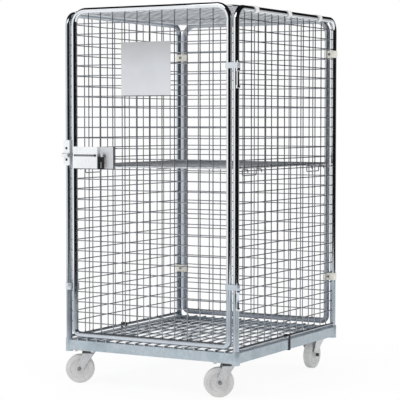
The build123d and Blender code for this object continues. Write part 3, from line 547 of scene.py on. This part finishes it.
STEM_EDGE = 0.4 * MM
STEM_SHADES = ((0.46, 0.48, 0.50), (0.56, 0.58, 0.60))
GRIP_HEIGHT = 45 * MM  # black grip on the stem of the lock handle
CROWN_PAINTED_SHADE = (5.5 * MM, 4 * MM)  # below the top of a fork, where the painted shade under the plate starts and where it is full

# Heights of a band low on the tubes and fittings whose zinc is painted darker as shade and made rougher,
# and the shades that painted shade passes through
DULL_SPAN = (0.15, 0.48)
DULL_ROUGH = 0.24  # added to the roughness at the foot of the low band
DULL_ROUGH_SPAN = (0.1, 0.6)  # share of the band over which that fades
TUBE_LOW_SHADE = ((0.0, (0.84, 0.87, 0.91)), (0.3, (0.44, 0.48, 0.52)), (0.62, (0.46, 0.51, 0.55)), (1.0, PLAIN))
BACK_LOW_SHADE = ((0.0, (0.84, 0.87, 0.91)), (0.4, (0.74, 0.79, 0.84)), (1.0, PLAIN))
FITTING_LOW_SHADE = ((0.0, (0.70, 0.74, 0.78)), (0.8, (0.74, 0.78, 0.82)), (1.0, PLAIN))

# Spans on Y over which the left wall's tube and the shelf are painted darker as shade, and the shades they
# reach
REAR_PAINTED_SHADE = ((0.30, 0.39), (0.72, 0.75, 0.79))
SHELF_PAINTED_SHADE = ((-0.36, 0.28), (0.42, 0.43, 0.44))

# Sign plate: painted shade from its lower edge to its upper one, darker above, and marks of handling
SIGN_PAINTED_SHADES = (
    (0.0, (0.62, 0.63, 0.66)),
    (0.55, (0.55, 0.565, 0.60)),
    (0.85, (0.45, 0.46, 0.48)),
    (1.0, (0.40, 0.405, 0.42)),
)
SIGN_MARKS = ((0.35, (0.95, 0.95, 0.95)), (0.6, PLAIN))
SIGN_MARK_SCALE = 16.0
SIGN_MARK_DETAIL = 6.0
SIGN_PATCH_SCALE = 5.0
SIGN_PATCH_SHARE = (0.4, 1.0)
SIGN_GRAIN = 320.0
SIGN_ROUGH = (0.38, 0.52)
SIGN_BUMP = 0.08
SIGN_RELIEF = 0.0002


def start_material(name):
    """New material with a principled shader, its node tree and its object coordinates."""
    material = bpy.data.materials.new(name)
    material.use_nodes = True
    tree = material.node_tree
    tree.nodes.clear()
    shader = tree.nodes.new("ShaderNodeBsdfPrincipled")
    output = tree.nodes.new("ShaderNodeOutputMaterial")
    tree.links.new(shader.outputs["BSDF"], output.inputs["Surface"])
    where = tree.nodes.new("ShaderNodeTexCoord").outputs["Object"]
    return material, tree, shader, where


def noise(tree, where, scale, detail=COARSE_DETAIL):
    """Noise over the object, finer with a larger scale."""
    node = tree.nodes.new("ShaderNodeTexNoise")
    node.inputs["Scale"].default_value = scale
    node.inputs["Detail"].default_value = detail
    tree.links.new(where, node.inputs["Vector"])
    return node.outputs["Fac"]


def cells(tree, where, scale):
    """Random shade per cell, like the spangle of zinc."""
    node = tree.nodes.new("ShaderNodeTexVoronoi")
    node.inputs["Scale"].default_value = scale
    tree.links.new(where, node.inputs["Vector"])
    split = tree.nodes.new("ShaderNodeSeparateColor")
    tree.links.new(node.outputs["Color"], split.inputs["Color"])
    return split.outputs["Red"]


def ramp(tree, factor, stops):
    """Colour ramp with (position, colour) stops."""
    node = tree.nodes.new("ShaderNodeValToRGB")
    elements = node.color_ramp.elements
    while len(elements) < len(stops):
        elements.new(0.5)
    for element, (position, colour) in zip(elements, stops):
        element.position = position
        element.color = (*colour, 1.0)
    tree.links.new(factor, node.inputs["Fac"])
    return node.outputs["Color"]


def mottled(tree, where, scale, positions, colours):
    """Colour that follows a noise through colours at positions."""
    return ramp(tree, noise(tree, where, scale), list(zip(positions, colours)))


def scaled(colour, share):
    """Colour made lighter or darker."""
    return tuple(share * part for part in colour)


def between(tree, factor, low, high, start, end):
    """Number that goes from low to high while a factor goes from start to end."""
    node = tree.nodes.new("ShaderNodeMapRange")
    node.inputs["From Min"].default_value = start
    node.inputs["From Max"].default_value = end
    node.inputs["To Min"].default_value = low
    node.inputs["To Max"].default_value = high
    tree.links.new(factor, node.inputs["Value"])
    return node.outputs["Result"]


def along_axis(tree, where, axis, low, high):
    """Factor that rises from 0 to 1 between two places on an axis."""
    split = tree.nodes.new("ShaderNodeSeparateXYZ")
    tree.links.new(where, split.inputs["Vector"])
    return between(tree, split.outputs[axis], 0.0, 1.0, low, high)


def mix_colour(tree, factor, one, other, mode="MIX"):
    """Mix of two linked colours by a factor."""
    node = tree.nodes.new("ShaderNodeMix")
    node.data_type = "RGBA"
    node.blend_type = mode
    tree.links.new(factor, node.inputs["Factor"])
    tree.links.new(one, node.inputs["A"])
    tree.links.new(other, node.inputs["B"])
    return node.outputs["Result"]


def math_node(tree, operation, one, other):
    """Math node on links or numbers."""
    node = tree.nodes.new("ShaderNodeMath")
    node.operation = operation
    for socket, value in zip(node.inputs, (one, other)):
        if isinstance(value, (int, float)):
            socket.default_value = value
        else:
            tree.links.new(value, socket)
    return node.outputs["Value"]


def bump(tree, shader, height, strength, distance):
    """Surface relief from a height."""
    node = tree.nodes.new("ShaderNodeBump")
    node.inputs["Strength"].default_value = strength
    node.inputs["Distance"].default_value = distance
    tree.links.new(height, node.inputs["Height"])
    tree.links.new(node.outputs["Normal"], shader.inputs["Normal"])


def painted_shade_tone(tree, where):
    """Dark mottled tone for painted shade."""
    return mottled(tree, where, SPOT_SCALE, NOISE_SPAN, (SHADE_TONE, scaled(SHADE_TONE, SHADE_TONE_SPREAD)))


def zinc(
    name,
    light,
    dark,
    rough,
    grain,
    metallic=1.0,
    relief=0.05,
    spangle=None,
    low_shade=None,
    rear=None,
    shade_above=None,
):
    """Zinc on steel: cloudy and unevenly glossy.

    Spangle is the scale of its flakes. The other arguments give painted shade: the shades of a band low
    down, where the zinc is also made rougher; a span on Y with the shade it leads to; and the heights
    between which a dark tone comes to cover the zinc.
    """
    material, tree, shader, where = start_material(name)
    shade = mottled(tree, where, CLOUD_SCALE, CLOUD_STOPS, (dark, light, scaled(light, CLOUD_FADE)))
    fine = noise(tree, where, grain, ZINC_DETAIL)
    gloss = between(tree, fine, *rough, *NOISE_SPAN)
    tints = []
    if spangle:
        tints.append(ramp(tree, cells(tree, where, spangle), ((0.0, FLAKE), (1.0, PLAIN))))
    # Painted shade: darker in a band low down, where the zinc is also made rougher
    if low_shade:
        height = along_axis(tree, where, "Z", *DULL_SPAN)
        tints.append(ramp(tree, height, low_shade))
        gloss = math_node(tree, "ADD", gloss, between(tree, height, DULL_ROUGH, 0.0, *DULL_ROUGH_SPAN))
    # Painted shade: darker towards one end on Y
    if rear:
        span, shade_behind = rear
        tints.append(ramp(tree, along_axis(tree, where, "Y", *span), ((0.0, PLAIN), (1.0, shade_behind))))
    patches = between(tree, noise(tree, where, PATCH_SCALE), *PATCH_SHARE, *NOISE_SPAN)
    for tint in tints:
        shade = mix_colour(tree, patches, shade, tint, "MULTIPLY")
    # Painted shade: a dark tone over the zinc between two heights
    if shade_above:
        shade = mix_colour(tree, along_axis(tree, where, "Z", *shade_above), shade, painted_shade_tone(tree, where))
    tree.links.new(shade, shader.inputs["Base Color"])
    tree.links.new(gloss, shader.inputs["Roughness"])
    shader.inputs["Metallic"].default_value = metallic
    bump(tree, shader, fine, relief, ZINC_RELIEF)
    return material


def moulded(name, light, dark, worn, rough, grain, relief=0.12, gloss=0.5, fold=None, stem=None):
    """Moulded plastic or paint: mottled, satin and rubbed at its edges.

    Fold is the place on X of a fold whose side face is painted dark as shade, and stem the height above
    which bare steel shows.
    """
    material, tree, shader, where = start_material(name)
    shade = mottled(tree, where, MOTTLE_SCALE, MOTTLE_STOPS, (dark, light))
    rubbed = mottled(tree, where, WEAR_SCALE, WEAR_STOPS, (worn, scaled(worn, WEAR_FADE)))
    pointed = tree.nodes.new("ShaderNodeNewGeometry").outputs["Pointiness"]
    shade = mix_colour(tree, between(tree, pointed, 0.0, 1.0, *EDGE_SPAN), shade, rubbed)
    # Painted shade on the side face beyond the fold
    if fold is not None:
        folded = along_axis(tree, where, "X", *(fold - inside for inside in FOLD_IN))
        shade = mix_colour(tree, folded, shade, painted_shade_tone(tree, where))
    if stem is not None:
        bare = mottled(tree, where, SPOT_SCALE, NOISE_SPAN, STEM_SHADES)
        shade = mix_colour(tree, along_axis(tree, where, "Z", stem, stem + STEM_EDGE), shade, bare)
    fine = noise(tree, where, grain, PLASTIC_DETAIL)
    tree.links.new(shade, shader.inputs["Base Color"])
    tree.links.new(between(tree, fine, *rough, *NOISE_SPAN), shader.inputs["Roughness"])
    shader.inputs["Specular IOR Level"].default_value = gloss
    bump(tree, shader, fine, relief, PLASTIC_RELIEF)
    return material


def blank_sign(name, low, high):
    """Pale sheet of the sign, painted greyer towards its upper edge as shade, with faint marks of handling.
    """
    material, tree, shader, where = start_material(name)
    shade = ramp(tree, along_axis(tree, where, "Z", low, high), SIGN_PAINTED_SHADES)
    marks = ramp(tree, noise(tree, where, SIGN_MARK_SCALE, SIGN_MARK_DETAIL), SIGN_MARKS)
    patches = between(tree, noise(tree, where, SIGN_PATCH_SCALE), *SIGN_PATCH_SHARE, *NOISE_SPAN)
    fine = noise(tree, where, SIGN_GRAIN, PLASTIC_DETAIL)
    tree.links.new(mix_colour(tree, patches, shade, marks, "MULTIPLY"), shader.inputs["Base Color"])
    tree.links.new(between(tree, fine, *SIGN_ROUGH, *NOISE_SPAN), shader.inputs["Roughness"])
    bump(tree, shader, fine, SIGN_BUMP, SIGN_RELIEF)
    return material


# Zinc of the tubes; the left and back walls have darker copies of the same zinc, as painted shade
tube_zinc = zinc(
    "tube_zinc",
    light=(0.84, 0.87, 0.90),
    dark=(0.76, 0.79, 0.83),
    rough=(0.06, 0.11),
    grain=260.0,
    relief=0.012,
    low_shade=TUBE_LOW_SHADE,
)
left_zinc = zinc(
    "left_zinc",
    light=(0.58, 0.63, 0.68),
    dark=(0.50, 0.55, 0.60),
    rough=(0.16, 0.24),
    grain=260.0,
    relief=0.012,
    low_shade=TUBE_LOW_SHADE,
    rear=REAR_PAINTED_SHADE,
)
back_zinc = zinc(
    "back_zinc",
    light=(0.62, 0.65, 0.70),
    dark=(0.54, 0.57, 0.62),
    rough=(0.38, 0.5),
    grain=260.0,
    relief=0.02,
    low_shade=BACK_LOW_SHADE,
)

# Zinc of the wires and rods: copies of one zinc, painted darker on the walls as shade and lighter on the
# roof, shelf and deck as painted light
wire_zinc = zinc(
    "wire_zinc",
    light=(0.36, 0.38, 0.41),
    dark=(0.27, 0.29, 0.32),
    rough=(0.20, 0.32),
    grain=420.0,
)
shelf_zinc = zinc(
    "shelf_zinc",
    light=(0.82, 0.84, 0.87),
    dark=(0.68, 0.70, 0.73),
    rough=(0.24, 0.38),
    grain=420.0,
    rear=SHELF_PAINTED_SHADE,
)
roof_zinc = zinc(
    "roof_zinc",
    light=(0.90, 0.94, 0.97),
    dark=(0.80, 0.84, 0.88),
    rough=(0.28, 0.42),
    grain=420.0,
)
rod_zinc = zinc(
    "rod_zinc",
    light=(0.77, 0.80, 0.84),
    dark=(0.62, 0.65, 0.69),
    rough=(0.24, 0.38),
    grain=420.0,
)

# Zinc of sheet and fittings, and bare steel
base_steel = zinc(
    "base_steel",
    light=(0.51, 0.58, 0.63),
    dark=(0.41, 0.48, 0.53),
    rough=(0.36, 0.5),
    grain=300.0,
    metallic=0.5,
    relief=0.08,
    spangle=140.0,
)
bright_zinc = zinc(
    "bright_zinc",
    light=(0.87, 0.89, 0.91),
    dark=(0.80, 0.82, 0.84),
    rough=(0.24, 0.38),
    grain=340.0,
    metallic=0.45,
    low_shade=FITTING_LOW_SHADE,
)
strap_zinc = zinc(
    "strap_zinc",
    light=(0.70, 0.75, 0.80),
    dark=(0.60, 0.65, 0.70),
    rough=(0.24, 0.38),
    grain=340.0,
    metallic=0.5,
    low_shade=FITTING_LOW_SHADE,
)
polished_zinc = zinc(
    "polished_zinc",
    light=(0.86, 0.88, 0.91),
    dark=(0.76, 0.78, 0.81),
    rough=(0.12, 0.2),
    grain=340.0,
    relief=0.03,
    low_shade=FITTING_LOW_SHADE,
)
CASTOR_LOOK = {
    "light": (0.70, 0.71, 0.72),
    "dark": (0.60, 0.61, 0.62),
    "rough": (0.32, 0.46),
    "grain": 320.0,
    "metallic": 0.5,
    "relief": 0.08,
    "spangle": 260.0,
}
fork_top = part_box("front_left_fork")[1].z
castor_zinc = zinc("castor_zinc", **CASTOR_LOOK)
# Fork zinc with a painted shade over its crown, under the castor plate
fork_zinc = zinc("fork_zinc", **CASTOR_LOOK, shade_above=[fork_top - below for below in CROWN_PAINTED_SHADE])
bolt_steel = zinc(
    "bolt_steel",
    light=(0.27, 0.28, 0.30),
    dark=(0.20, 0.21, 0.23),
    rough=(0.2, 0.34),
    grain=360.0,
)

# Paint and plastic
dark_fastener = moulded(
    "dark_fastener",
    light=(0.02, 0.02, 0.022),
    dark=(0.01, 0.01, 0.012),
    worn=(0.09, 0.09, 0.095),
    rough=(0.36, 0.55),
    grain=500.0,
    gloss=0.15,
)
# Lock plate paint; its folded right side face is painted dark as shade
lock_grey = moulded(
    "lock_grey",
    light=(0.54, 0.56, 0.59),
    dark=(0.47, 0.49, 0.52),
    worn=(0.64, 0.65, 0.67),
    rough=(0.36, 0.5),
    grain=380.0,
    fold=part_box("lock_plate")[1].x,
)
sign_low, sign_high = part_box("sign_plate")
sign_grey = blank_sign("sign_grey", sign_low.z, sign_high.z)
ivory_plastic = moulded(
    "ivory_plastic",
    light=(0.80, 0.79, 0.70),
    dark=(0.70, 0.69, 0.60),
    worn=(0.86, 0.85, 0.78),
    rough=(0.38, 0.52),
    grain=420.0,
)
white_plastic = moulded(
    "white_plastic",
    light=(0.84, 0.85, 0.85),
    dark=(0.76, 0.77, 0.78),
    worn=(0.9, 0.9, 0.9),
    rough=(0.36, 0.5),
    grain=420.0,
)
BLACK_LOOK = {
    "light": (0.007, 0.007, 0.008),
    "dark": (0.004, 0.004, 0.005),
    "worn": (0.03, 0.03, 0.032),
    "rough": (0.36, 0.52),
    "grain": 520.0,
    "gloss": 0.12,
}
black_plastic = moulded("black_plastic", **BLACK_LOOK)
handle_plastic = moulded("handle_plastic", **BLACK_LOOK, stem=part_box("lock_handle")[0].z + GRIP_HEIGHT)
wheel_plastic = moulded(
    "wheel_plastic",
    light=(0.62, 0.62, 0.615),
    dark=(0.54, 0.54, 0.535),
    worn=(0.70, 0.70, 0.695),
    rough=(0.42, 0.6),
    grain=260.0,
    relief=0.2,
)

# Tube frames, welded wire and wheels in the place of the plain solids, and small fasteners and welds
side_tube("left_wall_frame", left_zinc)
side_tube("right_wall_frame", tube_zinc)
for node, material in (("back_wall_frame", back_zinc), ("door_frame", tube_zinc)):
    bends = [LOOP_FOOT_BEND, LOOP_FOOT_BEND, LOOP_BEND, LOOP_BEND]
    loop_tube(node, bends, TUBE_SIDES, material)
loop_tube("shelf_frame", [ROD_BEND] * 4, ROD_SIDES, shelf_zinc)
hook_wires("shelf_hooks", wire_zinc)
for wall in ("left_wall", "right_wall", "back_wall", "door"):
    wire_panel(f"{wall}_mesh", wire_zinc)
wire_panel("shelf_mesh", shelf_zinc)
wire_panel("roof_mesh", roof_zinc)
wire_panel("deck_grid", rod_zinc, end_beads=False)
for castor in CASTORS:
    wheel_piece(castor, wheel_plastic)
    plate_bolts(castor, bright_zinc)
keeper_plugs(dark_fastener)
slot_pin(dark_fastener)

# Softened edges of the solids that stay
JOIN_WITHIN = 0.002 * MM
SOFT_SEGMENTS = 2
SOFT_ANGLE = math.radians(40)  # edges that turn by less stay as they are

# Solids that stay: material, slot of the record and softening of the edges in millimetres
FINISHES = {
    "base_frame": (base_steel, "base_steel", 0.8),
    "corner_clips": (ivory_plastic, "ivory_plastic", 0.8),
    "clip_screws": (bolt_steel, "dark_fastener", 0.5),
    "beam_clips": (black_plastic, "black_plastic", 0.8),
    "roof_clips": (white_plastic, "white_plastic", 0.8),
    "hinge_pintles": (polished_zinc, "bright_zinc", 0.6),
    "hinge_straps": (strap_zinc, "bright_zinc", 0.5),
    "bolt_keeper": (bright_zinc, "bright_zinc", 0.5),
    "lower_keeper": (bright_zinc, "bright_zinc", 0.5),
    "sign_plate": (sign_grey, "sign_grey", 0.4),
    "lock_plate": (lock_grey, "lock_grey", 0.5),
    "lock_cover": (bright_zinc, "bright_zinc", 0.5),
    "lock_bolt": (bolt_steel, "tube_zinc", 0.6),
    "lock_handle": (handle_plastic, "black_plastic", 0.8),
    "roof_frame": (roof_zinc, "wire_zinc", 0.0),
}
for castor in CASTORS:
    if castor.startswith("front"):
        FINISHES[f"{castor}_axle"] = (bolt_steel, "dark_fastener", 0.6)
        FINISHES[f"{castor}_plate"] = (castor_zinc, "castor_zinc", 0.5)
        FINISHES[f"{castor}_fork"] = (fork_zinc, "castor_zinc", 0.5)
        # The race is painted dark as the shade in the gap under the castor plate
        FINISHES[f"{castor}_race"] = (dark_fastener, "dark_fastener", 0.5)
        FINISHES[f"{castor}_kingpin"] = (bright_zinc, "bright_zinc", 0.5)
    else:
        FINISHES[f"{castor}_axle"] = (dark_fastener, "dark_fastener", 0.6)
        FINISHES[f"{castor}_bracket"] = (castor_zinc, "castor_zinc", 0.5)


def soften(solid, width):
    """Bevel the sharp edges of a solid by modifiers, with its mesh left as it is."""
    weld = solid.modifiers.new("joined", "WELD")
    weld.merge_threshold = JOIN_WITHIN
    bevel = solid.modifiers.new("soft_edges", "BEVEL")
    bevel.width = width
    bevel.segments = SOFT_SEGMENTS
    bevel.limit_method = "ANGLE"
    bevel.angle_limit = SOFT_ANGLE
    bevel.harden_normals = True


for node, (material, slot, soft) in FINISHES.items():
    solid = frame["nodes"][node]
    solid.data.materials.clear()
    solid.data.materials.append(material)
    if soft:
        soften(solid, soft * MM)

# Floor
FLOOR_HALF = 3.4
FLOOR_SCALE = 2.0
FLOOR_SHADES = ((0.96, 0.96, 0.96), (0.98, 0.98, 0.98))
FLOOR_ROUGH = 0.9
FLOOR_GLOW = 0.88  # share of plain white in the floor that is seen, over its shadows

# Dark side of the room between bearings about Z, and dark ceiling above a tilted plane
DARK_FROM = (math.radians(-118), math.radians(-98))
DARK_THIN = (math.radians(38), math.radians(54))
DARK_THIN_SHARE = 0.5  # darkness beyond those bearings
DARK_TO = (math.radians(80), math.radians(100))
CEILING_TILT = (0.143, 0.247)  # on X and on Y
CEILING_RISE = (0.29, 0.36)
DARK_DEPTH = 0.995

# Lamp and camera
LAMP_AT = (-0.8, -3.5, 4.2)
LAMP_AIM = (0, 0, 0.7)
LAMP_SIZE = 2.6
LAMP_POWER = 40.0
CAMERA_AT = (2.8914, -5.0965, 0.9854)
CAMERA_TURN = 29.758
CAMERA_DOWN = 2.962  # below the level
CAMERA_LENS = 136.53
CAMERA_SENSOR = 36.0


def stage_floor():
    """Pale floor that keeps the shadow."""
    mesh = bpy.data.meshes.new("floor")
    signs = ((-1, -1), (1, -1), (1, 1), (-1, 1))
    corners = [(x * FLOOR_HALF, y * FLOOR_HALF, 0) for x, y in signs]
    mesh.from_pydata(corners, [], [(0, 1, 2, 3)])
    material, tree, shader, where = start_material("floor")
    mesh.materials.append(material)
    tree.links.new(mottled(tree, where, FLOOR_SCALE, NOISE_SPAN, FLOOR_SHADES), shader.inputs["Base Color"])
    shader.inputs["Roughness"].default_value = FLOOR_ROUGH
    shader.inputs["Specular IOR Level"].default_value = 0.0
    glow = tree.nodes.new("ShaderNodeEmission")
    blend = tree.nodes.new("ShaderNodeMixShader")
    light = tree.nodes.new("ShaderNodeLightPath")
    seen = math_node(tree, "MAXIMUM", light.outputs["Is Camera Ray"], light.outputs["Is Glossy Ray"])
    seen = math_node(tree, "MAXIMUM", seen, light.outputs["Is Transmission Ray"])
    tree.links.new(math_node(tree, "MULTIPLY", seen, FLOOR_GLOW), blend.inputs["Fac"])
    tree.links.new(shader.outputs["BSDF"], blend.inputs[1])
    tree.links.new(glow.outputs["Emission"], blend.inputs[2])
    output = next(node for node in tree.nodes if node.type == "OUTPUT_MATERIAL")
    tree.links.new(blend.outputs["Shader"], output.inputs["Surface"])
    add_object("floor", mesh)


def studio_world():
    """White room whose dark side and dark ceiling only glossy rays see."""
    world = bpy.data.worlds.new("studio")
    bpy.context.scene.world = world
    world.use_nodes = True
    tree = world.node_tree
    tree.nodes.clear()
    output = tree.nodes.new("ShaderNodeOutputWorld")
    background = tree.nodes.new("ShaderNodeBackground")
    background.inputs["Color"].default_value = (1.0, 1.0, 1.0, 1.0)
    tree.links.new(background.outputs["Background"], output.inputs["Surface"])
    towards = tree.nodes.new("ShaderNodeTexCoord").outputs["Generated"]
    split = tree.nodes.new("ShaderNodeSeparateXYZ")
    tree.links.new(towards, split.inputs["Vector"])
    x, y, z = (split.outputs[axis] for axis in "XYZ")
    bearing = math_node(tree, "ARCTAN2", y, x)
    begins = between(tree, bearing, 0.0, 1.0, *DARK_FROM)
    thins = between(tree, bearing, 1.0, DARK_THIN_SHARE, *DARK_THIN)
    ends = between(tree, bearing, 1.0, 0.0, *DARK_TO)
    dark_side = math_node(tree, "MULTIPLY", math_node(tree, "MINIMUM", begins, thins), ends)
    tilt_x = math_node(tree, "MULTIPLY", x, CEILING_TILT[0])
    tilt_y = math_node(tree, "MULTIPLY", y, CEILING_TILT[1])
    rise = math_node(tree, "ADD", z, math_node(tree, "ADD", tilt_x, tilt_y))
    dark_top = between(tree, rise, 0.0, 1.0, *CEILING_RISE)
    dark = math_node(tree, "MAXIMUM", dark_side, dark_top)
    room = math_node(tree, "SUBTRACT", 1.0, math_node(tree, "MULTIPLY", dark, DARK_DEPTH))
    glossy = tree.nodes.new("ShaderNodeLightPath").outputs["Is Glossy Ray"]
    mirrored = math_node(tree, "MULTIPLY", glossy, room)
    plain = math_node(tree, "SUBTRACT", 1.0, glossy)
    tree.links.new(math_node(tree, "ADD", mirrored, plain), background.inputs["Strength"])


def studio_lamp():
    """Large soft lamp high on the left."""
    lamp = bpy.data.lights.new("softbox", "AREA")
    lamp.shape = "DISK"
    lamp.size = LAMP_SIZE
    lamp.energy = LAMP_POWER
    holder = add_object("softbox", lamp)
    holder.location = LAMP_AT
    aim = Vector(LAMP_AIM) - holder.location
    holder.rotation_euler = aim.to_track_quat("-Z", "Y").to_euler()


def studio_camera():
    """Camera at the photograph's place."""
    camera = bpy.data.cameras.new("camera")
    camera.lens = CAMERA_LENS
    camera.sensor_width = CAMERA_SENSOR
    holder = add_object("camera", camera)
    holder.location = CAMERA_AT
    holder.rotation_euler = (math.radians(90 - CAMERA_DOWN), 0.0, math.radians(CAMERA_TURN))
    bpy.context.scene.camera = holder


stage_floor()
studio_world()
studio_lamp()
studio_camera()
bpy.context.scene.view_settings.view_transform = "Standard"
